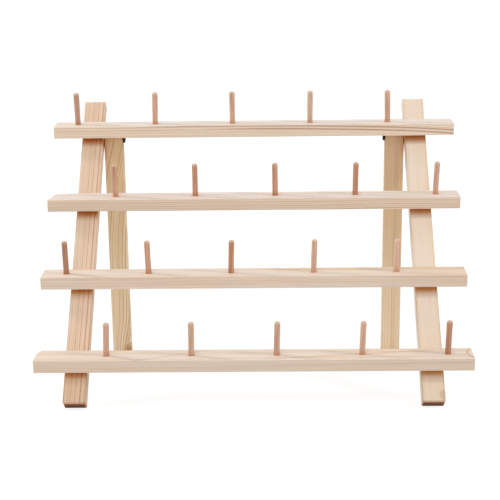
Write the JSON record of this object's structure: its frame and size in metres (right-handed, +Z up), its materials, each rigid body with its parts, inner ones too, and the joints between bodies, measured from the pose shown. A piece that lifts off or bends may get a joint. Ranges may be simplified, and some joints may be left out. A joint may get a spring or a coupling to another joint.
{
  "type": "thread spool rack",
  "caption": "Free-standing folding wooden rack that holds sewing-thread spools on upright pegs along stepped rails, with rear legs that fold flat on pivot bolts.",
  "frame": {"origin": "on the floor, below the middle of the rack's outline, standing open", "axes": "+X along the rails to the right as seen from the front, +Y to the back, +Z up"},
  "size_m": [0.4, 0.2134, 0.2781],
  "materials": {
    "front_pine": "sanded, unfinished",
    "rear_pine": "sanded, unfinished",
    "rail_pine": "sanded, unfinished",
    "peg_wood": "sanded, unfinished",
    "black_steel": "satin black",
    "plain_steel": "zinc plated"
  },
  "bodies": {
    "front_frame": {"front_leg_left": "front_pine", "front_leg_right": "front_pine", "rail_bottom": "rail_pine", "rail_lower": "rail_pine", "rail_upper": "rail_pine", "rail_top": "rail_pine", "peg_bottom_1": "peg_wood", "peg_bottom_2": "peg_wood", "peg_bottom_3": "peg_wood", "peg_bottom_4": "peg_wood", "peg_bottom_5": "peg_wood", "peg_lower_1": "peg_wood", "peg_lower_2": "peg_wood", "peg_lower_3": "peg_wood", "peg_lower_4": "peg_wood", "peg_lower_5": "peg_wood", "peg_upper_1": "peg_wood", "peg_upper_2": "peg_wood", "peg_upper_3": "peg_wood", "peg_upper_4": "peg_wood", "peg_upper_5": "peg_wood", "peg_top_1": "peg_wood", "peg_top_2": "peg_wood", "peg_top_3": "peg_wood", "peg_top_4": "peg_wood", "peg_top_5": "peg_wood", "barrel_nut_left": "black_steel", "barrel_nut_right": "black_steel", "pivot_bolt_left": "plain_steel", "pivot_bolt_right": "plain_steel", "pivot_washer_left": "plain_steel", "pivot_washer_right": "plain_steel", "rail_screws_left": "plain_steel", "rail_screws_right": "plain_steel"},
    "rear_leg_left": {"rear_leg_left": "rear_pine"},
    "rear_leg_right": {"rear_leg_right": "rear_pine"}
  },
  "joints": [
    {"name": "left_leg_fold", "type": "hinge", "parent": "front_frame", "child": "rear_leg_left", "pos_m": [-0.1425, 0.07672, 0.23249], "axis": [-1, 0, 0], "range_deg": [0, 44]},
    {"name": "right_leg_fold", "type": "hinge", "parent": "front_frame", "child": "rear_leg_right", "pos_m": [0.1425, 0.07672, 0.23249], "axis": [-1, 0, 0], "range_deg": [0, 44]}
  ]
}
